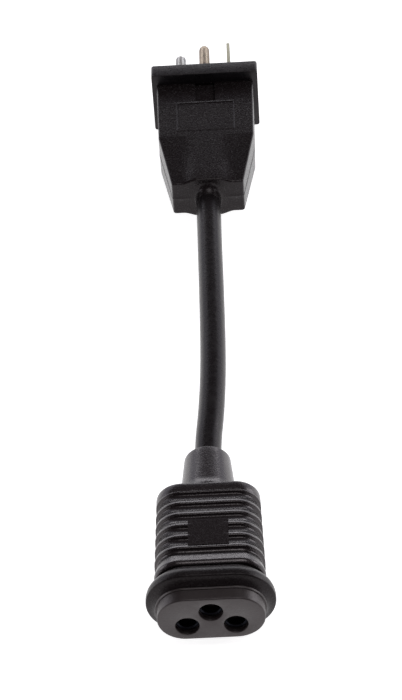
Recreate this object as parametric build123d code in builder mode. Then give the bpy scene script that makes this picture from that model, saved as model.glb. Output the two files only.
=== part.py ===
from build123d import *
import os
from math import pi, radians, tan

os.makedirs("parts", exist_ok=True)

# Dogbone power adapter, in millimetres. It lies level along Y on a table at z = 0:
# the three-hole socket is at the -Y end, the three-pin plug at the +Y end, +Z is up,
# and the origin is on the table, under the middle of the length.

# ---------------------------------------------------------------- shared
axis_height = 15.85
socket_x = -1.45
plug_x = 1.75

# ---------------------------------------------------------------- plug, stations along Y
pin_tip_y = 176.4
plate_front_y = 149.4
plate_rear_y = 141.6
taper_y = 102.6
plug_rear_y = 71.2
collar_y = 67.0

plate_width = 49.2
plate_height = 2 * axis_height
plate_corner = 1.4
plate_edge = 0.5

body_front_width = 44.6
body_taper_width = 43.2
body_rear_width = 31.8
body_height = 21.2
body_rear_height = 17.2
body_corner = 2.0
body_edge = 1.2

hump_r = 10.6
hump_front_y = 104.0
collar_r = 6.2

label_width = 25.0
label_length = 19.4
label_y = 126.3
tab_width = 8.9
tab_length = 14.4
tab_y = 134.1
recess_depth = 0.4

core_width = 30.0
core_height = 16.0
core_corner = 2.0

# ---------------------------------------------------------------- prongs
pin_pitch = 11.4
left_pin_d = 4.75
centre_pin_d = 4.9
left_pin_z = -1.3
centre_pin_z = 4.2
blade_z = 1.2
blade_thickness = 1.5
blade_height = 12.0
blade_tip_chamfer = 0.6
crimp_d = 4.6
crimp_length = 9.0
pin_rear_y = 122.0
pin_tip_round = 1.0
shank_cut = 0.6
shoulder_gap = 0.3

# ---------------------------------------------------------------- cord
cord_d = 10.8
bundle_d = 8.0
bundle_r = 2.1
insulation_d = 3.6
copper_d = 2.3
filler_d = 1.7
filler_r = 3.1
plug_jacket_end_y = 83.0
socket_jacket_end_y = -108.8

# ---------------------------------------------------------------- socket, stations along Y
nose_face_y = -176.4
nose_step_y = -170.4
flange_front_y = -170.0
groove_y = -159.3
sleeve_mouth_y = -173.9
sleeve_floor_y = -151.9
carrier_rear_y = -142.0
socket_core_rear_y = -118.0
grip_rear_y = -115.4
boot_tip_y = -93.8

nose_width = 41.2
nose_height = 22.4
nose_corner = 11.0
nose_edge = 0.6
nose_base_width = 42.6
nose_base_height = 23.6
nose_base_corner = 11.6

contact_pitch = 18.5
contact_rise = 3.7
contact_hole_d = 9.2
sleeve_bore_d = 7.2
sleeve_slit = 1.0
sleeve_slit_length = 14.0
sleeve_chamfer = 0.4
cup_depth = 5.0

flange_width = 49.8
flange_height = 2 * axis_height
flange_corner = 15.8
flange_rear_round = 3.9
flange_front_chamfer = 2.6

carrier_width = 34.0
carrier_height = 19.6
carrier_corner = 8.0

grip_rear_width = 41.0
grip_front_width = 43.2
grip_height = 23.8
grip_corner = 10.0
rib_count = 6
first_rib_y = -120.4
rib_pitch = 5.84
rib_crest = 0.9
groove_width = 1.6
groove_depth = 0.9
pad_width = 15.6
pad_front_y = -149.0
pad_rear_y = -136.1

boot_base_r = 11.3
boot_tip_r = 9.4
boot_edge = 0.8

# Places in the two housings, as (across, up) from each housing's own axis
contact_places = {
    "left": (-contact_pitch / 2, -contact_rise),
    "upper": (0, contact_rise),
    "right": (contact_pitch / 2, -contact_rise),
}
prong_places = {
    "left": (-pin_pitch, left_pin_z),
    "upper": (0, centre_pin_z),
    "right": (pin_pitch, blade_z),
}
wire_angles = {"left": 210, "upper": 90, "right": 330}
filler_angles = [30, 150, 270]

# The cord's route at the height of the two axes, chosen by hand: straight out of the boot,
# a gentle swing towards +X, and straight into the plug's collar
route = [
    (-1.45, socket_jacket_end_y, axis_height),
    (-1.45, -87.0, axis_height),
    (0.75, -64.0, axis_height),
    (2.0, -36.0, axis_height),
    (2.05, 6.0, axis_height),
    (1.75, 48.0, axis_height),
    (1.75, plug_jacket_end_y, axis_height),
]

# Inside each housing the wires fan out over these stations
socket_fan_ys = (-136.0, -121.0)
plug_fan_ys = (95.0, 113.0)
fan_radius = 8.0
socket_strip_y = -138.5
plug_strip_y = 118.0


def section(x, y):
    """Cross plane of a housing at station y: local x is +X, local y is +Z, normal is -Y."""
    return Plane(origin=(x, y, axis_height), x_dir=(1, 0, 0), z_dir=(0, -1, 0))


def start_of(path):
    """Plane square to a path at its first point."""
    return Plane(origin=path @ 0, z_dir=path % 0)


def corner_radii(points):
    """Arc radius at each inner point: 0.45 of the shorter run over the tangent of half the turn."""
    runs = [Vector(b) - Vector(a) for a, b in zip(points, points[1:])]
    radii = []
    for before, after in zip(runs, runs[1:]):
        half_turn = radians(before.get_angle(after)) / 2
        radii.append(0.45 * min(before.length, after.length) / tan(half_turn))
    return radii


def around(radius, angle):
    """Point on a circle about the cord's own axis, as (across, up)."""
    spot = Vector(radius, 0).rotate(Axis.Z, angle)
    return (spot.X, spot.Y)


def shifted(points, across, up):
    """The same points moved sideways and up."""
    return [(x + across, y, z + up) for x, y, z in points]


route_radii = corner_radii(route)


def wire_points(name, first_y, last_y):
    """Route of one wire, from its socket contact to its prong."""
    across, up = around(bundle_r, wire_angles[name])
    socket_across, socket_up = contact_places[name]
    plug_across, plug_up = prong_places[name]
    at_contact = (socket_x + socket_across, axis_height + socket_up)
    at_prong = (plug_x + plug_across, axis_height + plug_up)
    in_bundle = shifted(route[1:-1], across, up)
    return [
        (at_contact[0], first_y, at_contact[1]),
        (at_contact[0], socket_fan_ys[0], at_contact[1]),
        (socket_x + across, socket_fan_ys[1], axis_height + up),
        *in_bundle,
        (plug_x + across, plug_fan_ys[0], axis_height + up),
        (at_prong[0], plug_fan_ys[1], at_prong[1]),
        (at_prong[0], last_y, at_prong[1]),
    ]


wire_radii = [fan_radius, fan_radius, *route_radii, fan_radius, fan_radius]


def tube_along(points, radii, outer_d, inner_d=0):
    """Round tube, or a solid round bar, swept along straight runs joined by tangent arcs."""
    with BuildPart() as tube:
        with BuildLine() as path:
            FilletPolyline(*points, radius=radii)
        with BuildSketch(start_of(path.wire())):
            Circle(outer_d / 2)
            if inner_d:
                Circle(inner_d / 2, mode=Mode.SUBTRACT)
        sweep(path=path.wire())
    return tube


# ---------------------------------------------------------------- cord jacket
cord_jacket = tube_along(route, route_radii, cord_d, bundle_d)
cord_jacket.part.label = "cord_jacket"
export_step(cord_jacket.part, "parts/cord_jacket.step")

# ---------------------------------------------------------------- fillers between the wires
with BuildPart() as cord_fillers:
    for angle in filler_angles:
        across, up = around(filler_r, angle)
        add(tube_along(shifted(route, across, up), route_radii, filler_d).part)
cord_fillers.part.label = "cord_fillers"
export_step(cord_fillers.part, "parts/cord_fillers.step")

# ---------------------------------------------------------------- wires: copper and insulation
wires = []
for name in wire_angles:
    copper_run = wire_points(name, carrier_rear_y - cup_depth, pin_rear_y + cup_depth)
    copper = tube_along(copper_run, wire_radii, copper_d)
    copper.part.label = f"{name}_wire_copper"
    export_step(copper.part, f"parts/{name}_wire_copper.step")

    sheath_run = wire_points(name, socket_strip_y, plug_strip_y)
    insulation = tube_along(sheath_run, wire_radii, insulation_d, copper_d)
    insulation.part.label = f"{name}_wire_insulation"
    export_step(insulation.part, f"parts/{name}_wire_insulation.step")

    # the wire with its insulation as one solid, which the moulded cores are cut by
    sheath = tube_along(sheath_run, wire_radii, insulation_d)
    wires += [sheath.part, copper.part]

# ---------------------------------------------------------------- round pins


def round_pin(place, diameter):
    """Turned pin with a rounded tip, a thinner shank and a solder cup in its rear end."""
    shoulder_y = plate_front_y + shoulder_gap
    with BuildPart() as pin:
        with BuildSketch(section(plug_x, pin_rear_y)):
            with Locations(place):
                Circle((diameter - shank_cut) / 2)
        extrude(amount=-(shoulder_y - pin_rear_y))
        with BuildSketch(section(plug_x, shoulder_y)):
            with Locations(place):
                Circle(diameter / 2)
        extrude(amount=-(pin_tip_y - shoulder_y))
        fillet(pin.edges().sort_by(Axis.Y)[-1], radius=pin_tip_round)
        with BuildSketch(section(plug_x, pin_rear_y)):
            with Locations(place):
                Circle(copper_d / 2)
        extrude(amount=-cup_depth, mode=Mode.SUBTRACT)
    return pin


left_pin = round_pin(prong_places["left"], left_pin_d)
left_pin.part.label = "left_pin"
export_step(left_pin.part, "parts/left_pin.step")

centre_pin = round_pin(prong_places["upper"], centre_pin_d)
centre_pin.part.label = "centre_pin"
export_step(centre_pin.part, "parts/centre_pin.step")

# ---------------------------------------------------------------- flat blade with its crimp barrel
with BuildPart() as right_blade:
    with BuildSketch(section(plug_x, pin_rear_y + crimp_length / 2)):
        with Locations(prong_places["right"]):
            Rectangle(blade_thickness, blade_height)
    extrude(amount=-(pin_tip_y - pin_rear_y - crimp_length / 2))
    tip_corners = right_blade.edges().filter_by(Axis.X).group_by(Axis.Y)[-1]
    chamfer(tip_corners, length=blade_tip_chamfer)
    with BuildSketch(section(plug_x, pin_rear_y)):
        with Locations(prong_places["right"]):
            Circle(crimp_d / 2)
    extrude(amount=-crimp_length)
    with BuildSketch(section(plug_x, pin_rear_y)):
        with Locations(prong_places["right"]):
            Circle(copper_d / 2)
    extrude(amount=-cup_depth, mode=Mode.SUBTRACT)
right_blade.part.label = "right_blade"
export_step(right_blade.part, "parts/right_blade.step")

# ---------------------------------------------------------------- plug face plate
with BuildPart() as plug_face_plate:
    with BuildSketch(section(plug_x, plate_rear_y)):
        RectangleRounded(plate_width, plate_height, plate_corner)
    extrude(amount=-(plate_front_y - plate_rear_y))
    outer_edges = plug_face_plate.faces().sort_by(Axis.Y)[0].edges()
    outer_edges += plug_face_plate.faces().sort_by(Axis.Y)[-1].edges()
    fillet(outer_edges, radius=plate_edge)
    with BuildSketch(section(plug_x, plate_rear_y)):
        with Locations(prong_places["left"]):
            Circle((left_pin_d - shank_cut) / 2)
        with Locations(prong_places["upper"]):
            Circle((centre_pin_d - shank_cut) / 2)
        with Locations(prong_places["right"]):
            Rectangle(blade_thickness, blade_height)
    extrude(amount=-(plate_front_y - plate_rear_y), mode=Mode.SUBTRACT)
    # a shallow step round each pin, as wide as the pin's free stretch
    with BuildSketch(section(plug_x, plate_front_y)):
        with Locations(prong_places["left"]):
            Circle(left_pin_d / 2)
        with Locations(prong_places["upper"]):
            Circle(centre_pin_d / 2)
    extrude(amount=shoulder_gap, mode=Mode.SUBTRACT)
plug_face_plate.part.label = "plug_face_plate"
export_step(plug_face_plate.part, "parts/plug_face_plate.step")

# ---------------------------------------------------------------- plug core: holds prongs and wires
with BuildPart() as plug_core:
    with BuildSketch(section(plug_x, plug_jacket_end_y)):
        RectangleRounded(core_width, core_height, core_corner)
    extrude(amount=-(plate_rear_y - plug_jacket_end_y))
    for prong in (left_pin, centre_pin, right_blade):
        add(prong.part, mode=Mode.SUBTRACT)
    for wire in wires:
        add(wire, mode=Mode.SUBTRACT)
plug_core.part.label = "plug_core"
export_step(plug_core.part, "parts/plug_core.step")

# ---------------------------------------------------------------- plug body
body_plan = [
    (plug_x - body_front_width / 2, plate_rear_y),
    (plug_x - body_taper_width / 2, taper_y),
    (plug_x - body_rear_width / 2, plug_rear_y),
    (plug_x + body_rear_width / 2, plug_rear_y),
    (plug_x + body_taper_width / 2, taper_y),
    (plug_x + body_front_width / 2, plate_rear_y),
]
body_profile = [
    (plate_rear_y, axis_height - body_height / 2),
    (taper_y, axis_height - body_height / 2),
    (plug_rear_y, axis_height - body_rear_height / 2),
    (plug_rear_y, axis_height + body_rear_height / 2),
    (taper_y, axis_height + body_height / 2),
    (plate_rear_y, axis_height + body_height / 2),
]
with BuildPart() as plug_body:
    with BuildSketch(Plane.XY):
        with BuildLine():
            Polyline(*body_plan, close=True)
        make_face()
    extrude(amount=plate_height)
    with BuildSketch(Plane.YZ):
        with BuildLine():
            Polyline(*body_profile, close=True)
        make_face()
    extrude(amount=plate_width, both=True, mode=Mode.INTERSECT)
    rear_corners = plug_body.edges().filter_by(Axis.Z).group_by(Axis.Y)[0]
    fillet(rear_corners, radius=body_corner)
    top_face_edges = plug_body.edges().group_by(Axis.Z)[-1].filter_by(Axis.X, reverse=True)
    bottom_face_edges = plug_body.edges().group_by(Axis.Z)[0].filter_by(Axis.X, reverse=True)
    fillet(top_face_edges + bottom_face_edges, radius=body_edge)
    # round hump along the axis, ending in a collar that flares out of the rear face
    with BuildSketch(Plane(origin=(plug_x, 0, axis_height), x_dir=(0, 1, 0), z_dir=(0, 0, 1))):
        with BuildLine():
            flare = RadiusArc((collar_y, collar_r), (plug_rear_y + 0.4, hump_r), -5.5)
            Polyline(flare @ 1, (hump_front_y, hump_r), (hump_front_y, 0), (collar_y, 0), flare @ 0)
        make_face()
    revolve(axis=Axis((plug_x, 0, axis_height), (0, 1, 0)))
    with BuildSketch(section(plug_x, collar_y)):
        Circle(cord_d / 2)
    extrude(amount=-(plug_jacket_end_y - collar_y), mode=Mode.SUBTRACT)
    with BuildSketch(section(plug_x, plug_jacket_end_y)):
        RectangleRounded(core_width, core_height, core_corner)
    extrude(amount=-(plate_rear_y - plug_jacket_end_y), mode=Mode.SUBTRACT)
    # blank label panel and tab panel, sunk into the top
    with BuildSketch(Plane.XY.offset(axis_height + body_height / 2)):
        with Locations((plug_x, label_y - label_length / 2)):
            Rectangle(label_width, label_length)
        with Locations((plug_x, tab_y)):
            Rectangle(tab_width, tab_length)
    extrude(amount=-recess_depth, mode=Mode.SUBTRACT)
plug_body.part.label = "plug_body"
export_step(plug_body.part, "parts/plug_body.step")

# ---------------------------------------------------------------- socket nose and contact carrier
with BuildPart() as socket_nose:
    with BuildSketch(section(socket_x, nose_step_y)):
        RectangleRounded(nose_width, nose_height, nose_corner)
    extrude(amount=nose_step_y - nose_face_y)
    front_rim = socket_nose.faces().sort_by(Axis.Y)[0].edges()
    fillet(front_rim, radius=nose_edge)
    with BuildSketch(section(socket_x, groove_y)):
        RectangleRounded(nose_base_width, nose_base_height, nose_base_corner)
    extrude(amount=groove_y - nose_step_y)
    with BuildSketch(section(socket_x, carrier_rear_y)):
        RectangleRounded(carrier_width, carrier_height, carrier_corner)
    extrude(amount=carrier_rear_y - groove_y)
    with BuildSketch(section(socket_x, carrier_rear_y)):
        with Locations(*contact_places.values()):
            Circle(contact_hole_d / 2)
    extrude(amount=carrier_rear_y - nose_face_y, mode=Mode.SUBTRACT)
socket_nose.part.label = "socket_nose"
export_step(socket_nose.part, "parts/socket_nose.step")

# ---------------------------------------------------------------- contact sleeves
for name, place in contact_places.items():
    with BuildPart() as sleeve:
        with BuildSketch(section(socket_x, carrier_rear_y)):
            with Locations(place):
                Circle(contact_hole_d / 2)
        extrude(amount=carrier_rear_y - sleeve_mouth_y)
        with BuildSketch(section(socket_x, sleeve_floor_y)):
            with Locations(place):
                Circle(sleeve_bore_d / 2)
        extrude(amount=sleeve_floor_y - sleeve_mouth_y, mode=Mode.SUBTRACT)
        mouth = sleeve.faces().sort_by(Axis.Y)[0].inner_wires()[0].edges()
        chamfer(mouth, length=sleeve_chamfer)
        # two slits let the sleeve spring open on a pin
        with BuildSketch(section(socket_x, sleeve_mouth_y + sleeve_slit_length)):
            with Locations(place):
                Rectangle(contact_hole_d + 1, sleeve_slit)
        extrude(amount=sleeve_slit_length, mode=Mode.SUBTRACT)
        with BuildSketch(section(socket_x, carrier_rear_y)):
            with Locations(place):
                Circle(copper_d / 2)
        extrude(amount=cup_depth, mode=Mode.SUBTRACT)
    sleeve.part.label = f"{name}_contact_sleeve"
    export_step(sleeve.part, f"parts/{name}_contact_sleeve.step")

# ---------------------------------------------------------------- socket core: seals wires and sleeves
with BuildPart() as socket_core:
    with BuildSketch(section(socket_x, socket_core_rear_y)):
        RectangleRounded(carrier_width, carrier_height, carrier_corner)
    extrude(amount=socket_core_rear_y - carrier_rear_y)
    for wire in wires:
        add(wire, mode=Mode.SUBTRACT)
socket_core.part.label = "socket_core"
export_step(socket_core.part, "parts/socket_core.step")

# ---------------------------------------------------------------- flange
with BuildPart() as socket_flange:
    with BuildSketch(section(socket_x, groove_y)):
        RectangleRounded(flange_width, flange_height, flange_corner)
    extrude(amount=groove_y - flange_front_y)
    fillet(socket_flange.faces().sort_by(Axis.Y)[-1].edges(), radius=flange_rear_round)
    chamfer(socket_flange.faces().sort_by(Axis.Y)[0].edges(), length=flange_front_chamfer)
    with BuildSketch(section(socket_x, groove_y)):
        RectangleRounded(nose_base_width, nose_base_height, nose_base_corner)
    extrude(amount=groove_y - flange_front_y, mode=Mode.SUBTRACT)
socket_flange.part.label = "socket_flange"
export_step(socket_flange.part, "parts/socket_flange.step")

# ---------------------------------------------------------------- grip
rib_front_y = first_rib_y - rib_crest
with BuildPart() as socket_grip:
    with BuildSketch(section(socket_x, grip_rear_y)):
        RectangleRounded(grip_rear_width, grip_height, grip_corner)
    with BuildSketch(section(socket_x, groove_y)):
        RectangleRounded(grip_front_width, grip_height, grip_corner)
    loft(ruled=True)
    for rib in range(rib_count):
        with BuildSketch(section(socket_x, rib_front_y - rib * rib_pitch)):
            Rectangle(grip_front_width + 4, grip_height + 4)
            RectangleRounded(
                grip_rear_width - 2 * groove_depth,
                grip_height - 2 * groove_depth,
                grip_corner - groove_depth,
                mode=Mode.SUBTRACT,
            )
        extrude(amount=groove_width, mode=Mode.SUBTRACT)
    # blank pad that crosses the ribs on top
    with BuildSketch(section(socket_x, pad_rear_y)):
        with Locations((0, grip_height / 2 - 1)):
            Rectangle(pad_width, 2)
    extrude(amount=pad_rear_y - pad_front_y)
    with BuildSketch(section(socket_x, socket_core_rear_y)):
        RectangleRounded(carrier_width, carrier_height, carrier_corner)
    extrude(amount=socket_core_rear_y - groove_y, mode=Mode.SUBTRACT)
    with BuildSketch(section(socket_x, grip_rear_y)):
        Circle(bundle_d / 2)
    extrude(amount=grip_rear_y - socket_core_rear_y, mode=Mode.SUBTRACT)
socket_grip.part.label = "socket_grip"
export_step(socket_grip.part, "parts/socket_grip.step")

# ---------------------------------------------------------------- boot
with BuildPart() as cord_boot:
    with BuildSketch(section(socket_x, grip_rear_y)):
        Circle(boot_base_r)
    with BuildSketch(section(socket_x, boot_tip_y)):
        Circle(boot_tip_r)
    loft()
    fillet(cord_boot.edges().sort_by(Axis.Y)[-1], radius=boot_edge)
    with BuildSketch(section(socket_x, boot_tip_y)):
        Circle(cord_d / 2)
    extrude(amount=boot_tip_y - socket_jacket_end_y, mode=Mode.SUBTRACT)
    with BuildSketch(section(socket_x, socket_jacket_end_y)):
        Circle(bundle_d / 2)
    extrude(amount=socket_jacket_end_y - grip_rear_y, mode=Mode.SUBTRACT)
cord_boot.part.label = "cord_boot"
export_step(cord_boot.part, "parts/cord_boot.step")

# ---------------------------------------------------------------- cord figures
with BuildLine() as jacket_path:
    FilletPolyline(*route, radius=route_radii)
jacket_length = jacket_path.wire().length
jacket_section = pi / 4 * (cord_d**2 - bundle_d**2)
print("cord arc radii, mm:", [round(radius, 1) for radius in route_radii])
print("smallest radius in diameters:", round(min(route_radii) / cord_d, 1))
print("jacket length, mm:", round(jacket_length, 2))
print("jacket volume over section x length:", cord_jacket.part.volume / jacket_section / jacket_length)
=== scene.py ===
from math import atan2, cos, pi, radians, sin

import bmesh
import bpy
from mathutils import Matrix, Vector


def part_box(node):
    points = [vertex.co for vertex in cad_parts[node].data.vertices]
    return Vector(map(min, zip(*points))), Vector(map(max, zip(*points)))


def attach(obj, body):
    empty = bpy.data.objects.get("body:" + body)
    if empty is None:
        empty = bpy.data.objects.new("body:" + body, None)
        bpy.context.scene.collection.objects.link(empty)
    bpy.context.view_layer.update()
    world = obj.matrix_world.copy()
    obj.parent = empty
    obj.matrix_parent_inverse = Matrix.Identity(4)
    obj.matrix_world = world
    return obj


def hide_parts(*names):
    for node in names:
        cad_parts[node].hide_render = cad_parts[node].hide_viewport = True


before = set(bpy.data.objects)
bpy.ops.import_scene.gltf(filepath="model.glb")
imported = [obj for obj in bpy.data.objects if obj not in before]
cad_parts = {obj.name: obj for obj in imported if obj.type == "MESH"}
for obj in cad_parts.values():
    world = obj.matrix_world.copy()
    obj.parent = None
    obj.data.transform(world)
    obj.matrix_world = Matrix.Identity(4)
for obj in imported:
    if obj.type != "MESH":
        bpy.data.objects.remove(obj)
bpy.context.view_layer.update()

# Sections and stations below are in millimetres in the row frame; meshes are made in metres.
MM = 0.001


def box_mm(node):
    """Lowest and highest corner of a CAD node, in millimetres."""
    low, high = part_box(node)
    return Vector(low) / MM, Vector(high) / MM


# ---------------------------------------------------------------- places, all from the frame
grip_low, grip_high = box_mm("socket_grip")
flange_low, flange_high = box_mm("socket_flange")
nose_low, nose_high = box_mm("socket_nose")
boot_low, boot_high = box_mm("cord_boot")
body_low, body_high = box_mm("plug_body")
plate_low, plate_high = box_mm("plug_face_plate")
blade_low, blade_high = box_mm("right_blade")
left_low, left_high = box_mm("left_pin")
centre_low, centre_high = box_mm("centre_pin")

axis_z = (plate_low.z + plate_high.z) / 2
socket_x = (grip_low.x + grip_high.x) / 2
plug_x = (plate_low.x + plate_high.x) / 2

# ---------------------------------------------------------------- camera
view_azimuth = radians(2.0)
view_elevation = radians(43.2)
view_roll = radians(-4.2)
view_distance = 1088.0
view_target = Vector((-3.05, -29.2, 17.0))
lens_mm = 133.71

outward = Vector((
    sin(view_azimuth) * cos(view_elevation),
    -cos(view_azimuth) * cos(view_elevation),
    sin(view_elevation),
))
right = Vector((cos(view_azimuth), sin(view_azimuth), 0))
upward = outward.cross(right)
camera_turn = Matrix((right, upward, outward)).transposed() @ Matrix.Rotation(view_roll, 3, "Z")
camera_data = bpy.data.cameras.new("camera")
camera_data.lens = lens_mm
camera = bpy.data.objects.new("camera", camera_data)
bpy.context.collection.objects.link(camera)
camera.matrix_world = (
    Matrix.Translation((view_target + outward * view_distance) * MM) @ camera_turn.to_4x4()
)
bpy.context.scene.camera = camera


# ---------------------------------------------------------------- materials
# noise scales, in cycles a metre
mottle_scale, wave_scale, painted_glint_scale = 60, 90, 1500
cloud_scale, tarnish_scale, brush_scale, strand_scale = 220, 500, 2600, 2400

# spans of noise values: most of a broad noise, most of a fine one, and the peaks alone, for painted glints
broad_span, fine_span = (0.3, 0.7), (0.35, 0.65)
painted_glint_span, tarnish_span = (0.59, 0.66), (0.5, 0.75)
deepest_tarnish = 0.55

# painted glints: light specks mixed into the moulded colours, standing for the sparkle of the grained
# surface
painted_glint_colour = (0.085, 0.081, 0.084)
mould_tint = (1.0, 0.92, 0.94, 1)
metal_tint = (0.3, 0.3, 0.32, 1)

# which sockets a Mix node uses when it mixes colours
MIX_FACTOR, MIX_FIRST, MIX_SECOND, MIX_RESULT = 0, 6, 7, 2

finishes = {}


class Finish:
    """A node material round one Principled shader, with its noise in object space."""

    def __init__(self, name, metallic=0.0, specular=0.5):
        self.material = bpy.data.materials.new(name)
        self.material.use_nodes = True
        self.nodes = self.material.node_tree.nodes
        self.links = self.material.node_tree.links
        self.shader = self.nodes["Principled BSDF"]
        self.shader.inputs["Metallic"].default_value = metallic
        self.shader.inputs["Specular IOR Level"].default_value = specular
        self.place = self.nodes.new("ShaderNodeTexCoord").outputs["Object"]
        finishes[name] = self.material

    def noise(self, scale, detail=4.0, rough=0.55, stretch=(1, 1, 1)):
        """Fractal noise, stretched along the axes whose factor is under one."""
        spread = self.nodes.new("ShaderNodeMapping")
        spread.inputs["Scale"].default_value = stretch
        noise = self.nodes.new("ShaderNodeTexNoise")
        noise.inputs["Scale"].default_value = scale
        noise.inputs["Detail"].default_value = detail
        noise.inputs["Roughness"].default_value = rough
        self.links.new(self.place, spread.inputs["Vector"])
        self.links.new(spread.outputs["Vector"], noise.inputs["Vector"])
        return noise.outputs["Fac"]

    def ramp(self, source, span, colours):
        """Two colours, from one to the other over a span of a source's values."""
        ramp = self.nodes.new("ShaderNodeValToRGB")
        for element, position, colour in zip(ramp.color_ramp.elements, span, colours):
            element.position = position
            element.color = (*colour, 1)
        self.links.new(source, ramp.inputs["Fac"])
        return ramp.outputs["Color"]

    def spread(self, source, span, to_low, to_high):
        """A span of a source's values, mapped to another range."""
        change = self.nodes.new("ShaderNodeMapRange")
        change.inputs["From Min"].default_value = span[0]
        change.inputs["From Max"].default_value = span[1]
        change.inputs["To Min"].default_value = to_low
        change.inputs["To Max"].default_value = to_high
        self.links.new(source, change.inputs["Value"])
        return change.outputs["Result"]

    def mix(self, factor, colour, second):
        """A colour output mixed with a fixed second colour by a factor output."""
        mix = self.nodes.new("ShaderNodeMix")
        mix.data_type = "RGBA"
        self.links.new(factor, mix.inputs[MIX_FACTOR])
        self.links.new(colour, mix.inputs[MIX_FIRST])
        mix.inputs[MIX_SECOND].default_value = (*second, 1)
        return mix.outputs[MIX_RESULT]

    def tint(self, colour):
        """Colour of the shader's highlights."""
        self.shader.inputs["Specular Tint"].default_value = colour

    def colour(self, source):
        self.links.new(source, self.shader.inputs["Base Color"])

    def roughness(self, source):
        self.links.new(source, self.shader.inputs["Roughness"])

    def bump(self, source, height_mm, strength=1.0, below=None):
        """Bump of that height, on top of another bump if one is given."""
        bump = self.nodes.new("ShaderNodeBump")
        bump.inputs["Distance"].default_value = height_mm * MM
        bump.inputs["Strength"].default_value = strength
        self.links.new(source, bump.inputs["Height"])
        if below:
            self.links.new(below, bump.inputs["Normal"])
        self.links.new(bump.outputs["Normal"], self.shader.inputs["Normal"])
        return bump.outputs["Normal"]


def moulded(name, colours, gloss, grain_mm, grain_height, painted_glints=0.0, specular=0.36):
    """Moulded plastic or rubber: mottled colour, uneven gloss, fine grain over wide waves, and
    light specks painted into the colour as glints if asked. The colours and the gloss, as roughness, are a
    low and a high value."""
    finish = Finish(name, specular=specular)
    finish.tint(mould_tint)
    mottle = finish.noise(mottle_scale, detail=5)
    grain = finish.noise(1 / (grain_mm * MM), detail=3, rough=0.65)
    colour = finish.ramp(mottle, broad_span, colours)
    if painted_glints:
        # painted glints: a light colour laid over the peaks of a fine noise
        painted_glint_noise = finish.noise(painted_glint_scale, detail=1, rough=0.5)
        colour = finish.mix(finish.spread(painted_glint_noise, painted_glint_span, 0.0, painted_glints), colour, painted_glint_colour)
    finish.colour(colour)
    finish.roughness(finish.spread(grain, fine_span, gloss[1], gloss[0]))
    waves = finish.bump(finish.noise(wave_scale, detail=3), height_mm=0.12, strength=0.6)
    finish.bump(grain, grain_height, below=waves)


def metal(name, colours, gloss, brushed, tarnish):
    """Turned or rolled metal: fine lines, soft tarnish and uneven gloss."""
    finish = Finish(name, metallic=1.0)
    finish.tint(metal_tint)
    clouds = finish.noise(cloud_scale, detail=6)
    finish.colour(finish.mix(
        finish.spread(finish.noise(tarnish_scale, detail=8), tarnish_span, 0.0, deepest_tarnish),
        finish.ramp(clouds, broad_span, colours),
        tarnish,
    ))
    finish.roughness(finish.spread(clouds, broad_span, *gloss))
    lines = finish.noise(brush_scale, detail=3, stretch=brushed)
    finish.bump(lines, height_mm=0.02, strength=0.5)


def stranded(name, colours):
    """A bundle of thin wires, as bright and dark lines along it."""
    finish = Finish(name, metallic=1.0)
    lines = finish.noise(strand_scale, detail=2, stretch=(1, 0.02, 1))
    finish.colour(finish.ramp(lines, fine_span, colours))
    finish.roughness(finish.spread(lines, fine_span, 0.5, 0.25))
    finish.bump(lines, height_mm=0.15)


black = ((0.0056, 0.0042, 0.0044), (0.0086, 0.0066, 0.007))
plate_black = ((0.006, 0.0055, 0.0064), (0.0092, 0.0085, 0.0098))
# the nose painted lighter than the black mouldings: painted light for its front face, which takes light
# from the floor
painted_light_nose = ((0.015, 0.0117, 0.0112), (0.0205, 0.0162, 0.0157))
jacket_black = ((0.0058, 0.0048, 0.0052), (0.0085, 0.0072, 0.0078))
# the amounts of painted glints, as light specks in the colour, on the black mouldings
moulded("black_pvc", black, (0.2, 0.3), 0.85, 0.06, painted_glints=0.12, specular=0.6)
moulded("plug_moulding", black, (0.22, 0.32), 0.85, 0.08, painted_glints=0.28, specular=0.22)
moulded("face_plate", plate_black, (0.26, 0.36), 0.8, 0.1, painted_glints=0.1, specular=0.3)
moulded("flange_pvc", black, (0.26, 0.36), 0.85, 0.08, painted_glints=0.12, specular=0.2)
# nose colour lightened as painted light from the floor
moulded("nose_plastic", painted_light_nose, (0.34, 0.44), 0.8, 0.08, specular=0.55)
moulded("cord_jacket", jacket_black, (0.24, 0.32), 2.2, 0.05, specular=0.24)
moulded("core_plastic", ((0.05, 0.05, 0.055), (0.07, 0.07, 0.075)), (0.5, 0.6), 0.6, 0.03)
moulded("wire_white", ((0.62, 0.61, 0.58), (0.74, 0.73, 0.7)), (0.4, 0.5), 1.0, 0.02)
moulded("wire_green", ((0.03, 0.2, 0.06), (0.04, 0.27, 0.08)), (0.4, 0.5), 1.0, 0.02)
moulded("wire_black", ((0.012, 0.012, 0.012), (0.02, 0.02, 0.02)), (0.4, 0.5), 1.0, 0.02)
moulded("filler", ((0.5, 0.45, 0.36), (0.64, 0.58, 0.47)), (0.7, 0.9), 0.4, 0.1)

along_lines, around_lines = (1, 0.03, 1), (0.05, 1, 0.05)
nickel = ((0.34, 0.34, 0.335), (0.48, 0.475, 0.46))
brass = ((0.35, 0.3, 0.24), (0.48, 0.41, 0.33))
dull_nickel = ((0.26, 0.25, 0.2), (0.36, 0.35, 0.28))
# brass darkened nearly to black: painted shade for the contact sleeves deep inside the socket's holes
painted_shade_brass = ((0.016, 0.017, 0.022), (0.032, 0.034, 0.042))
metal("pin_nickel", nickel, (0.24, 0.36), around_lines, tarnish=(0.18, 0.17, 0.15))
metal("pin_brass", brass, (0.26, 0.4), around_lines, tarnish=(0.2, 0.16, 0.15))
metal("blade_nickel", dull_nickel, (0.26, 0.4), along_lines, tarnish=(0.16, 0.15, 0.11))
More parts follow.
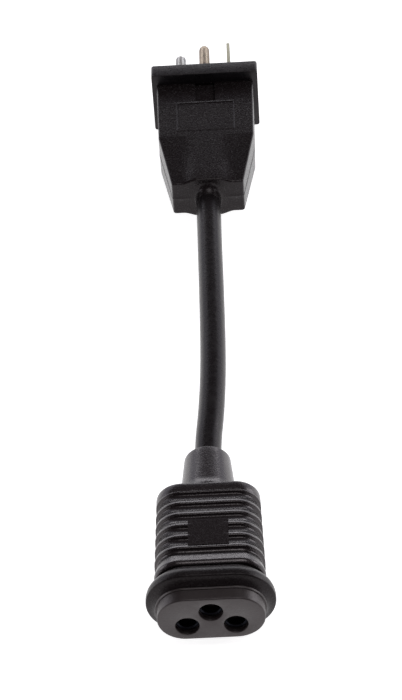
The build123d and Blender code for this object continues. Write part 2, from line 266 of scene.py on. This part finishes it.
# contact sleeves and their tarnish in near-black painted shade
metal("contact_brass", painted_shade_brass, (0.4, 0.5), along_lines, tarnish=(0.012, 0.012, 0.014))
stranded("copper", ((0.45, 0.17, 0.09), (0.85, 0.42, 0.26)))


# ---------------------------------------------------------------- mesh tools
middle_xs = (-5, 0, 5)
side_flat = 0.05  # flat left between two corners, so that no two points of a section coincide


def section(half_w, half_h, corner, xs=(), zs=(), steps=10):
    """(across, up) points round a rounded rectangle, clockwise from its top.
    xs and zs are further points on its flat top and bottom, and on its flat sides."""
    corner = max(corner, 0.01)
    flat_x, flat_z = half_w - corner, half_h - corner
    quarter = [pi / 2 * k / steps for k in range(steps + 1)]
    points = [(x, half_h) for x in xs]
    points += [(flat_x + corner * sin(a), flat_z + corner * cos(a)) for a in quarter]
    points += [(half_w, z) for z in reversed(zs)]
    points += [(flat_x + corner * cos(a), -flat_z - corner * sin(a)) for a in quarter]
    points += [(x, -half_h) for x in reversed(xs)]
    points += [(-flat_x - corner * sin(a), -flat_z - corner * cos(a)) for a in quarter]
    points += [(-half_w, z) for z in zs]
    points += [(-flat_x - corner * cos(a), flat_z + corner * sin(a)) for a in quarter]
    return points


def circle(radius, count=72):
    """(across, up) points round a circle, clockwise from the top."""
    return [(radius * sin(2 * pi * k / count), radius * cos(2 * pi * k / count)) for k in range(count)]


def circle_facing(points, radius):
    """Points on a circle, each in the direction of one of the points given."""
    angles = [atan2(z, x) for x, z in points]
    return [(radius * cos(a), radius * sin(a)) for a in angles]


def shifted(points, across, up):
    """Points moved sideways and up."""
    return [(across + x, up + z) for x, z in points]


def blended(first, second, share):
    """Points part of the way from one section to another."""
    return [(a + (c - a) * share, b + (d - b) * share) for (a, b), (c, d) in zip(first, second)]


def limited(value):
    """Value held between -1 and 1."""
    return max(-1, min(1, value))


def ease(value):
    """Smooth step from 0 to 1."""
    value = min(max(value, 0.0), 1.0)
    return value * value * (3 - 2 * value)


def between(table, y):
    """Value at y, in straight lines between the (y, value) pairs of a table in rising order."""
    for (y0, v0), (y1, v1) in zip(table, table[1:]):
        if y <= y1:
            return v0 + (v1 - v0) * max(0.0, (y - y0) / (y1 - y0))
    return table[-1][1]


def ring(bm, points, y, centre_x):
    """Vertices of one section. A station is one y, or one y for each point."""
    ys = y if isinstance(y, list) else [y] * len(points)
    return [
        bm.verts.new(Vector((centre_x + x, station, axis_z + z)) * MM)
        for (x, z), station in zip(points, ys)
    ]


def bridge(bm, first, second):
    """Quads between two rings of the same count."""
    for k in range(len(first)):
        after = (k + 1) % len(first)
        bm.faces.new((first[k], first[after], second[after], second[k]))


def loft(bm, rings):
    """Quads through a list of rings."""
    for first, second in zip(rings, rings[1:]):
        bridge(bm, first, second)


def face_with_holes(bm, outline, holes):
    """Flat face between an outline ring and the rings of its holes."""
    edges = []
    for loop in (outline, *holes):
        for k, vertex in enumerate(loop):
            edges.append(bm.edges.get((vertex, loop[(k + 1) % len(loop)])))
    bmesh.ops.triangle_fill(bm, use_beauty=True, edges=edges)


def piece(name, bm, node, slot, finish=None, sharp=40.0):
    """Makes the mesh an object that stands for a CAD node and rides on the root. Its finish has
    the slot's name unless another is given, and edges over sharp degrees stay hard."""
    bmesh.ops.recalc_face_normals(bm, faces=bm.faces)
    for face in bm.faces:
        face.smooth = True
    for edge in bm.edges:
        edge.smooth = not edge.is_manifold or edge.calc_face_angle() < radians(sharp)
    mesh = bpy.data.meshes.new(name)
    bm.to_mesh(mesh)
    bm.free()
    made = bpy.data.objects.new(name, mesh)
    bpy.context.collection.objects.link(made)
    mesh.materials.append(finishes[finish or slot])
    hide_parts(node)
    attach(made, "root")


# ---------------------------------------------------------------- cord, on the route of the CAD
cord_d = 10.8
route = [
    (-1.45, -108.8, 15.85),
    (-1.45, -87.0, 15.85),
    (0.75, -64.0, 15.85),
    (2.0, -36.0, 15.85),
    (2.05, 6.0, 15.85),
    (1.75, 48.0, 15.85),
    (1.75, 83.0, 15.85),
]
cord_curve = bpy.data.curves.new("cord", "CURVE")
cord_curve.dimensions = "3D"
cord_curve.bevel_depth = cord_d / 2 * MM
cord_curve.bevel_resolution = 12
cord_curve.use_fill_caps = True
spline = cord_curve.splines.new("NURBS")
spline.points.add(len(route) - 1)
for point, place in zip(spline.points, route):
    point.co = (*(Vector(place) * MM), 1)
spline.order_u = 3
spline.use_endpoint_u = True
spline.resolution_u = 16
spline.use_smooth = True
cord_curve.materials.append(finishes["cord_jacket"])
cord = bpy.data.objects.new("cord", cord_curve)
bpy.context.collection.objects.link(cord)
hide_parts("cord_jacket")
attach(cord, "root")

# ---------------------------------------------------------------- boot
boot_base_r = (boot_high.x - boot_low.x) / 2
boot_tip_r = boot_base_r - 1.9
boot_rim, foot_flare = 0.35, 0.5
taper_start, taper_end = grip_high.y + 1.1, boot_high.y - boot_rim
taper_steps, rim_steps = 8, 4
jacket_r = cord_d / 2
boot_rings = [
    (grip_high.y - 0.6, boot_base_r + foot_flare),
    (grip_high.y + 0.1, boot_base_r + foot_flare),
    (grip_high.y + 0.5, boot_base_r + foot_flare / 2),
]
for k in range(taper_steps + 1):
    share = k / taper_steps
    boot_rings.append((
        taper_start + (taper_end - taper_start) * share,
        boot_base_r + (boot_tip_r - boot_base_r) * share,
    ))
for k in range(1, rim_steps + 1):
    turn = pi / 2 * k / rim_steps
    boot_rings.append((taper_end + boot_rim * sin(turn), boot_tip_r - boot_rim * (1 - cos(turn))))
boot_rings += [
    (boot_high.y, jacket_r + 0.5),
    (boot_high.y - 0.3, jacket_r + 0.15),
    (boot_high.y - 2.0, jacket_r - 0.05),
]
bm = bmesh.new()
loft(bm, [ring(bm, circle(r), y, socket_x) for y, r in boot_rings])
piece("boot", bm, "cord_boot", "black_pvc")

# ---------------------------------------------------------------- grip with its ribs and pad
rib_count, rib_pitch, first_rib = 6, 5.84, 5.0
rib_depth = 1.1
pad_half, pad_from, pad_to = 7.8, 20.7, 33.6
pad_wall = 0.06
grip_height = grip_high.z - grip_low.z
grip_front_half = (grip_high.x - grip_low.x) / 2
grip_rear_half = grip_front_half - 1.1
grip_corner = 10.0

# one rib from its ridge on: depth below the crests as a share of the full depth
rib_shape = [
    (0.0, 0.06), (0.12, 0.02), (0.3, 0.0), (0.75, 0.0), (0.9, 0.1), (1.0, 0.3), (1.15, 0.75),
    (1.3, 0.93), (1.5, 1.0), (2.4, 1.0), (2.9, 0.95), (4.4, 0.6), (5.05, 0.27), (5.2, 0.22),
]
last_ridge = first_rib + (rib_count - 1) * rib_pitch
last_wall = last_ridge + 1.4

# the whole grip: depth below the crests, by distance from its rear end
grip_profile = [(0.0, 1.6), (0.1, 1.0), (0.35, 0.5), (0.8, 0.15), (1.4, 0.0), (first_rib - 0.2, 0.0)]
for rib in range(rib_count):
    ridge = first_rib + rib * rib_pitch
    rib_points = [(ridge + step, rib_depth * depth) for step, depth in rib_shape]
    grip_profile += [(s, d) for s, d in rib_points if s < last_wall]

# in front of the last ridge, one long slope up to a rounded edge
grip_profile += [
    (last_ridge + 1.9, 1.4), (last_ridge + 2.2, 1.35), (last_ridge + 2.5, 1.27), (40.9, 0.13), (41.2, 0.05),
    (41.5, 0.0), (42.3, 0.08), (42.9, 0.4), (43.15, 0.6), (43.25, 0.8), (43.3, 1.8), (43.9, 1.8),
]
stations = sorted({s for s, d in grip_profile} | {pad_from - pad_wall, pad_from, pad_to, pad_to + pad_wall})
grip_xs = (-pad_half - pad_wall, -pad_half, -4, 0, 4, pad_half, pad_half + pad_wall)
grip_zs = (-0.4, -0.12, 0.12, 0.4)
grip_rings = []
bm = bmesh.new()
for station in stations:
    share = station / stations[-1]
    half_w = grip_rear_half + (grip_front_half - grip_rear_half) * share
    depth = between(grip_profile, station)
    crest = section(half_w, grip_height / 2, grip_corner, grip_xs, grip_zs)
    sunk = section(half_w - depth, grip_height / 2 - depth, grip_corner - depth, grip_xs, grip_zs)
    on_pad = pad_from <= station <= pad_to
    points = []
    for high, low in zip(crest, sunk):
        padded = on_pad and abs(high[0]) <= pad_half and high[1] > grip_height / 4
        points.append(high if padded else low)
    grip_rings.append(ring(bm, points, grip_high.y - station, socket_x))
loft(bm, grip_rings)
bm.faces.new(grip_rings[0])
bm.faces.new(grip_rings[-1])
piece("grip", bm, "socket_grip", "black_pvc", sharp=50.0)

# ---------------------------------------------------------------- flange
flange_half_w = (flange_high.x - flange_low.x) / 2
flange_half_h = (flange_high.z - flange_low.z) / 2

# depth below the flange's crest, by distance from its rear face
flange_profile = [
    (0.0, 5.4), (0.04, 4.7), (0.2, 4.35), (1.0, 3.6), (2.0, 2.66), (3.0, 1.78), (3.6, 1.3),
    (4.2, 0.87), (4.8, 0.52), (5.4, 0.27), (6.1, 0.09), (6.8, 0.0), (8.5, 0.0), (8.75, 0.05),
    (8.95, 0.22), (9.15, 0.7), (9.45, 1.45), (9.85, 2.2), (10.35, 2.9), (10.8, 3.35), (11.2, 3.7),
]
flange_rings = []
bm = bmesh.new()
for step, inset in flange_profile:
    half_w, half_h = flange_half_w - inset, flange_half_h - inset
    points = section(half_w, half_h, half_h - side_flat, middle_xs, steps=18)
    flange_rings.append(ring(bm, points, flange_high.y - step, socket_x))
loft(bm, flange_rings)
bm.faces.new(flange_rings[0])
bm.faces.new(flange_rings[-1])
piece("flange", bm, "socket_flange", "black_pvc", finish="flange_pvc")

# ---------------------------------------------------------------- nose with its three holes
nose_half_w, nose_half_h, nose_corner = 20.6, 11.2, 11.0
base_half_w, base_half_h, base_corner = 21.3, 11.7, 11.6
nose_edge, edge_steps = 0.6, 5
base_front = nose_low.y + 5.0
hole_r, lead_in = 4.6, 0.35
hole_places = ((-9.25, -3.7), (0.0, 3.7), (9.25, -3.7))
nose_shape = [
    (flange_low.y + 3.0, base_half_w, base_half_h, base_corner),
    (base_front + 0.3, base_half_w, base_half_h, base_corner),
    (base_front + 0.08, base_half_w - 0.08, base_half_h - 0.08, base_corner),
    (base_front, base_half_w - 0.3, base_half_h - 0.3, base_corner - 0.2),
    (base_front, nose_half_w + 0.02, nose_half_h + 0.02, nose_corner),
    (base_front - 0.15, nose_half_w, nose_half_h, nose_corner),
]
for k in range(edge_steps + 1):
    turn = pi / 2 * k / edge_steps
    front = nose_low.y + nose_edge * (1 - sin(turn))
    inset = nose_edge * (1 - cos(turn))
    nose_shape.append((front, nose_half_w - inset, nose_half_h - inset, nose_corner - inset))
nose_rings = []
bm = bmesh.new()
for y, half_w, half_h, corner in nose_shape:
    points = section(half_w, half_h, min(corner, half_h - side_flat), middle_xs, steps=18)
    nose_rings.append(ring(bm, points, y, socket_x))
loft(bm, nose_rings)
bm.faces.new(nose_rings[0])
hole_shape = [
    (nose_low.y, hole_r + lead_in),
    (nose_low.y + 0.12, hole_r + 0.12),
    (nose_low.y + lead_in, hole_r),
    (nose_high.y, hole_r),
]
mouths = []
for across, up in hole_places:
    hole_rings = []
    for y, r in hole_shape:
        hole_rings.append(ring(bm, shifted(circle(r, count=48), across, up), y, socket_x))
    loft(bm, hole_rings)
    mouths.append(hole_rings[0])
face_with_holes(bm, nose_rings[-1], mouths)
piece("nose", bm, "socket_nose", "nose_plastic")

# ---------------------------------------------------------------- plug body
body_front_half = (body_high.x - body_low.x) / 2
body_taper_half = body_front_half - 0.7
body_rear_half = body_front_half - 6.4
body_half_h, body_rear_half_h = 10.6, 8.6
body_corner = 0.8
taper_y, rear_y = 102.6, 71.2
collar_y = body_low.y
seam_height, seam_half = 0.14, 0.14
hump_flat, hump_foot = 4.6, 12.0

# the sunk label panel in a thin raised frame, whose far side has a long slope with a level foot
label_half, label_from, label_to = 12.5, 106.9, 126.3
panel_depth = 0.1
frame_width, frame_height, frame_slope = 0.12, 0.2, 0.28
frame_out = frame_slope + frame_width
far_slope, far_foot = 0.9, 0.1

# the sunk tab: deeper toward the label, with a groove at its other end and a bevelled right edge
tab_half, tab_from, tab_to, tab_slope = 4.45, 127.75, 141.3, 0.07
tab_depth, panel_wall = 0.6, 0.07
groove_width, groove_depth = 0.8, 1.6
groove_from, bevel_from = tab_to - groove_width, tab_half - groove_width
slack = 0.01

# points across the top: at every step in height, and evenly spread from the tab to the label's edge
outer_xs = [tab_half, tab_half + panel_wall]
outer_xs += [5.2 + 0.8 * k for k in range(8)] + [11.7, label_half]
outer_xs += [label_half + frame_slope, label_half + frame_out, label_half + frame_out + frame_slope]
inner_xs = [-2.2, 0.0, 2.2, bevel_from - panel_wall, bevel_from]
body_xs = [-x for x in reversed(outer_xs)] + inner_xs + outer_xs
body_zs = (-3.0, -0.3, -0.12, 0.12, 0.3, 3.0)


def panel_relief(x, y):
    """Height of the top over its plain level, from the label panel, its frame and the tab."""
    outside = max(abs(x) - label_half, label_from - y, y - label_to)
    if outside <= slack:
        return -panel_depth
    if frame_slope - slack <= outside <= frame_out + slack:
        return frame_height
    if tab_from <= y <= tab_to and abs(x) <= tab_half:
        if x >= tab_half or y >= groove_from:
            return -groove_depth
        return -tab_depth - tab_slope * (tab_to - y)
    return 0.0


def body_section(y):
    """The plug's section at station y, with its humps, side seams, panel and tab."""
    widths = [(rear_y, body_rear_half), (taper_y, body_taper_half), (plate_low.y, body_front_half)]
    heights = [(rear_y, body_rear_half_h), (taper_y, body_half_h)]
    half_w, half_h = between(widths, y), between(heights, y)
    raised = body_half_h - half_h
    points = []
    for x, z in section(half_w, half_h, body_corner, body_xs, body_zs, steps=8):
        on_flat = abs(z) > half_h * 0.99
        side = 1 if z > 0 else -1
        if on_flat:
            z += side * raised * (1 - ease((abs(x) - hump_flat) / (hump_foot - hump_flat)))
        if on_flat and side > 0:
            z += panel_relief(x, y)
        if abs(z) <= seam_half:
            x += seam_height if x > 0 else -seam_height
        points.append((x, z))
    return points


body_stations = [
    plate_low.y,
    tab_to + panel_wall, tab_to, groove_from, groove_from - panel_wall, 134.0, tab_from,
    label_to + frame_out + far_slope + far_foot, label_to + frame_out + far_slope,
    label_to + frame_out, label_to + frame_slope, label_to, 117.0, label_from,
    label_from - frame_slope, label_from - frame_out, label_from - frame_out - frame_slope,
    taper_y + 1.6, taper_y + 0.6, taper_y, taper_y - 0.6, taper_y - 1.6,
    97.0, 92.0, 87.0, 82.0, 78.0,
]
bm = bmesh.new()
body_rings = [ring(bm, body_section(y), y, plug_x) for y in body_stations]

# the rounded rear edge, drawn in less near the middle of each side, and less in height than in width
rear_round, rear_steps = 1.0, 6
round_half_x, round_half_z, round_share_z = 9, 6, 0.45
for k in range(rear_steps + 1):
    turn = pi / 2 * k / rear_steps
    y = rear_y + rear_round * (1 - sin(turn))
    inset = rear_round * (1 - cos(turn))
    rim = [
        (x - inset * limited(x / round_half_x), z - round_share_z * inset * limited(z / round_half_z))
        for x, z in body_section(y)
    ]
    body_rings.append(ring(bm, rim, y, plug_x))

# across the rear face to an upright oval, with the side seams running out on the way
throat_r, throat_squeeze = 8.8, 0.78
throat = [(x * throat_squeeze, z) for x, z in circle_facing(rim, throat_r)]
for share in (0.25, 0.5, 0.75, 1.0):
    points = blended(rim, throat, share)
    seam = seam_height * (1 - share)
    ys = [rear_y - (seam if abs(z) <= seam_half * 1.2 else 0.0) for x, z in points]
    body_rings.append(ring(bm, points, ys, plug_x))

# down the flared collar, from the oval to a circle, and over its lip to the cord
collar_shape = [
    (71.05, 8.2), (70.8, 7.6), (70.4, 7.05), (69.9, 6.6), (69.2, 6.25), (68.4, 5.9), (67.6, 5.68),
    (collar_y + 0.15, 5.6), (collar_y, 5.55), (collar_y, 5.48),
    (collar_y + 0.25, 5.41), (collar_y + 2.0, 5.38),
]
for y, r in collar_shape:
    narrow = throat_squeeze + (1 - throat_squeeze) * ease((rear_y - y) / (rear_y - collar_y))
    points = [(x * narrow, z) for x, z in circle_facing(rim, r)]
    body_rings.append(ring(bm, points, y, plug_x))
loft(bm, body_rings)
bm.faces.new(body_rings[0])
piece("plug_moulding", bm, "plug_body", "plug_moulding", sharp=25.0)

# ---------------------------------------------------------------- prongs
left_pin_x = (left_low.x + left_high.x) / 2 - plug_x
left_pin_z = (left_low.z + left_high.z) / 2 - axis_z
left_pin_r = (left_high.x - left_low.x) / 2
centre_pin_z = (centre_low.z + centre_high.z) / 2 - axis_z
centre_pin_r = (centre_high.x - centre_low.x) / 2
blade_x = (blade_low.x + blade_high.x) / 2 - plug_x
blade_z = (blade_low.z + blade_high.z) / 2 - axis_z
pin_rear, pin_tip = blade_low.y, blade_high.y
shank_cut, shoulder_gap, shoulder_round = 0.3, 0.3, 0.1
shaft_middle = 12.0


def round_prong(name, node, slot, across, up, radius, tip_shape):
    """Turned pin: a thinner shank, a small shoulder and a shaped tip."""
    shoulder = plate_high.y + shoulder_gap
    shape = [
        (pin_rear, radius - shank_cut), (shoulder - 0.02, radius - shank_cut),
        (shoulder, radius - shoulder_round), (shoulder + 0.12, radius), (shoulder + shaft_middle, radius),
    ]
    shape += [(pin_tip - back, radius - inset) for back, inset in tip_shape]
    bm = bmesh.new()
    rings = [ring(bm, shifted(circle(r, count=48), across, up), y, plug_x) for y, r in shape]
    loft(bm, rings)
    bm.faces.new(rings[0])
    bm.faces.new(rings[-1])
    piece(name, bm, node, slot)


# tips as (distance back from the tip, inset)
tip_round, tip_steps = 1.1, 8
tip_turns = [pi / 2 * k / tip_steps for k in range(tip_steps + 1)]
round_tip = [(tip_round * (1 - sin(turn)), tip_round * (1 - cos(turn))) for turn in tip_turns]
cone_tip = [(2.6, 0.0), (1.6, 0.1), (0.9, 0.3), (0.45, 0.55), (0.15, 0.85), (0.0, 1.2)]
round_prong("left_prong", "left_pin", "pin_nickel", left_pin_x, left_pin_z, left_pin_r, round_tip)
round_prong("centre_prong", "centre_pin", "pin_brass", 0, centre_pin_z, centre_pin_r, cone_tip)

# the blade, without the crimp barrel behind it, which is inside the plug
blade_half_w, blade_half_h, blade_corner = 0.75, 6.0, 0.18
barrel_length = 4.5
blade_zs = (-3, 0, 3)
blade_shape = [
    (pin_rear + barrel_length, blade_half_w, blade_half_h),
    (pin_tip - 1.0, blade_half_w, blade_half_h),
    (pin_tip - 0.6, blade_half_w, blade_half_h - 0.1),
    (pin_tip - 0.15, blade_half_w - 0.05, blade_half_h - 0.5),
    (pin_tip - 0.05, blade_half_w - 0.15, blade_half_h - 0.6),
    (pin_tip, blade_half_w - 0.25, blade_half_h - 0.7),
]
blade_rings = []
bm = bmesh.new()
for y, half_w, half_h in blade_shape:
    points = section(half_w, half_h, blade_corner, zs=blade_zs, steps=4)
    blade_rings.append(ring(bm, shifted(points, blade_x, blade_z), y, plug_x))
loft(bm, blade_rings)
bm.faces.new(blade_rings[0])
bm.faces.new(blade_rings[-1])
piece("blade_prong", bm, "right_blade", "pin_nickel", finish="blade_nickel")

# ---------------------------------------------------------------- plug face plate
plate_half_w = (plate_high.x - plate_low.x) / 2
plate_half_h = (plate_high.z - plate_low.z) / 2
plate_corner, plate_edge, edge_steps = 1.2, 0.32, 5
hole_gap, hole_depth = 0.12, 1.5
plate_turns = [pi / 2 * k / edge_steps for k in range(edge_steps + 1)]
rounding = [(plate_edge * (1 - cos(turn)), plate_edge * (1 - sin(turn))) for turn in plate_turns]
plate_shape = [(plate_low.y + step, inset) for step, inset in rounding]
plate_shape += [(plate_high.y - step, inset) for step, inset in reversed(rounding)]
plate_rings = []
bm = bmesh.new()
for y, inset in plate_shape:
    half_w, half_h = plate_half_w - inset, plate_half_h - inset
    corner = plate_corner - inset / 2
    points = section(half_w, half_h, corner, xs=(-12, 0, 12), zs=(-6, 0, 6), steps=6)
    plate_rings.append(ring(bm, points, y, plug_x))
loft(bm, plate_rings)
bm.faces.new(plate_rings[0])
hole_half_w, hole_half_h = blade_half_w + hole_gap, blade_half_h + hole_gap
blade_hole = section(hole_half_w, hole_half_h, corner=blade_corner + hole_gap, zs=blade_zs, steps=4)
mouths = []
for outline in (
    shifted(circle(left_pin_r - shank_cut + hole_gap, count=40), left_pin_x, left_pin_z),
    shifted(circle(centre_pin_r - shank_cut + hole_gap, count=40), 0, centre_pin_z),
    shifted(blade_hole, blade_x, blade_z),
):
    hole_rings = [ring(bm, outline, y, plug_x) for y in (plate_high.y, plate_high.y - hole_depth)]
    loft(bm, hole_rings)
    bm.faces.new(hole_rings[-1])
    mouths.append(hole_rings[0])
face_with_holes(bm, plate_rings[-1], mouths)
piece("face_plate", bm, "plug_face_plate", "face_plate")

# ---------------------------------------------------------------- CAD nodes that stay
kept_nodes = {"plug_core": "core_plastic", "socket_core": "core_plastic", "cord_fillers": "filler"}
for place, insulation in (("left", "wire_white"), ("upper", "wire_green"), ("right", "wire_black")):
    kept_nodes[f"{place}_wire_insulation"] = insulation
    kept_nodes[f"{place}_wire_copper"] = "copper"
    kept_nodes[f"{place}_contact_sleeve"] = "contact_brass"
for node, finish in kept_nodes.items():
    for material_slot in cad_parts[node].material_slots:
        material_slot.material = finishes[finish]

# ---------------------------------------------------------------- floor and light
floor_half = 4.0
bm = bmesh.new()
corners = ((-1, -1), (1, -1), (1, 1), (-1, 1))
bm.faces.new([bm.verts.new((floor_half * x, floor_half * y, 0)) for x, y in corners])
floor_mesh = bpy.data.meshes.new("floor")
bm.to_mesh(floor_mesh)
bm.free()
floor = bpy.data.objects.new("floor", floor_mesh)
bpy.context.collection.objects.link(floor)

# pale paint that glows a little, so that the ground stays as white as the photo's
paint_colours = ((0.86, 0.86, 0.865), (0.88, 0.88, 0.885))
paint_scale, floor_glow = 3, 0.86
pale = Finish("pale_floor", specular=0.1)
pale.colour(pale.ramp(pale.noise(paint_scale), broad_span, paint_colours))
pale.shader.inputs["Roughness"].default_value = 0.9
pale.shader.inputs["Emission Color"].default_value = (1, 1, 1, 1)
pale.shader.inputs["Emission Strength"].default_value = floor_glow
floor_mesh.materials.append(pale.material)


def add_light(name, data):
    """An object for a light's data, linked to the scene."""
    light = bpy.data.objects.new(name, data)
    bpy.context.collection.objects.link(light)
    return light


def area_light(name, place, width, height, watts, aim=(0, 0, 0)):
    """A rectangular soft light that points at a place."""
    data = bpy.data.lights.new(name, "AREA")
    data.shape = "RECTANGLE"
    data.size = width
    data.size_y = height
    data.energy = watts
    light = add_light(name, data)
    light.location = place
    light.rotation_euler = (Vector(aim) - Vector(place)).to_track_quat("-Z", "Y").to_euler()


key_data = bpy.data.lights.new("key_panel", "SUN")
key_data.energy = 0.8
key_data.angle = radians(35)
key = add_light("key_panel", key_data)
key_from = Vector((0.18, 0.02, 1.0))  # nearly overhead
key.rotation_euler = key_from.to_track_quat("Z", "Y").to_euler()
area_light("right_panel", (1.3, 0.5, 0.5), width=0.8, height=0.8, watts=6)
area_light("back_panel", (0, 1.35, 0.42), width=1.6, height=0.22, watts=3.6, aim=(0, -0.15, 0))
area_light("left_panel", (-1.3, 0.2, 0.45), width=0.7, height=0.7, watts=3)

# a white room: bright near the horizon, dim overhead and on the camera's side
bright, dim = (0.97, 0.97, 1.08, 1), (0.12, 0.101, 0.11, 1)
wall_top, ceiling = 0.42, 0.54  # Z of a direction, where it starts to dim and where it is dim
camera_side, far_side = -0.45, 0.1  # Y of a direction, where it is dim and where it is bright
room_strength = 0.95
world = bpy.data.worlds.new("studio")
bpy.context.scene.world = world
world.use_nodes = True
room = world.node_tree
direction = room.nodes.new("ShaderNodeSeparateXYZ")
room.links.new(room.nodes.new("ShaderNodeTexCoord").outputs["Generated"], direction.inputs["Vector"])
wall = room.nodes.new("ShaderNodeValToRGB")
for element, position, colour in zip(wall.color_ramp.elements, (wall_top, ceiling), (bright, dim)):
    element.position = position
    element.color = colour
room.links.new(direction.outputs["Z"], wall.inputs["Fac"])
ahead = room.nodes.new("ShaderNodeMapRange")
ahead.inputs["From Min"].default_value = camera_side
ahead.inputs["From Max"].default_value = far_side
room.links.new(direction.outputs["Y"], ahead.inputs["Value"])
room_mix = room.nodes.new("ShaderNodeMix")
room_mix.data_type = "RGBA"
room_mix.inputs[MIX_FIRST].default_value = dim
room.links.new(ahead.outputs["Result"], room_mix.inputs[MIX_FACTOR])
room.links.new(wall.outputs["Color"], room_mix.inputs[MIX_SECOND])
room.links.new(room_mix.outputs[MIX_RESULT], room.nodes["Background"].inputs["Color"])
room.nodes["Background"].inputs["Strength"].default_value = room_strength
bpy.context.scene.view_settings.view_transform = "Standard"
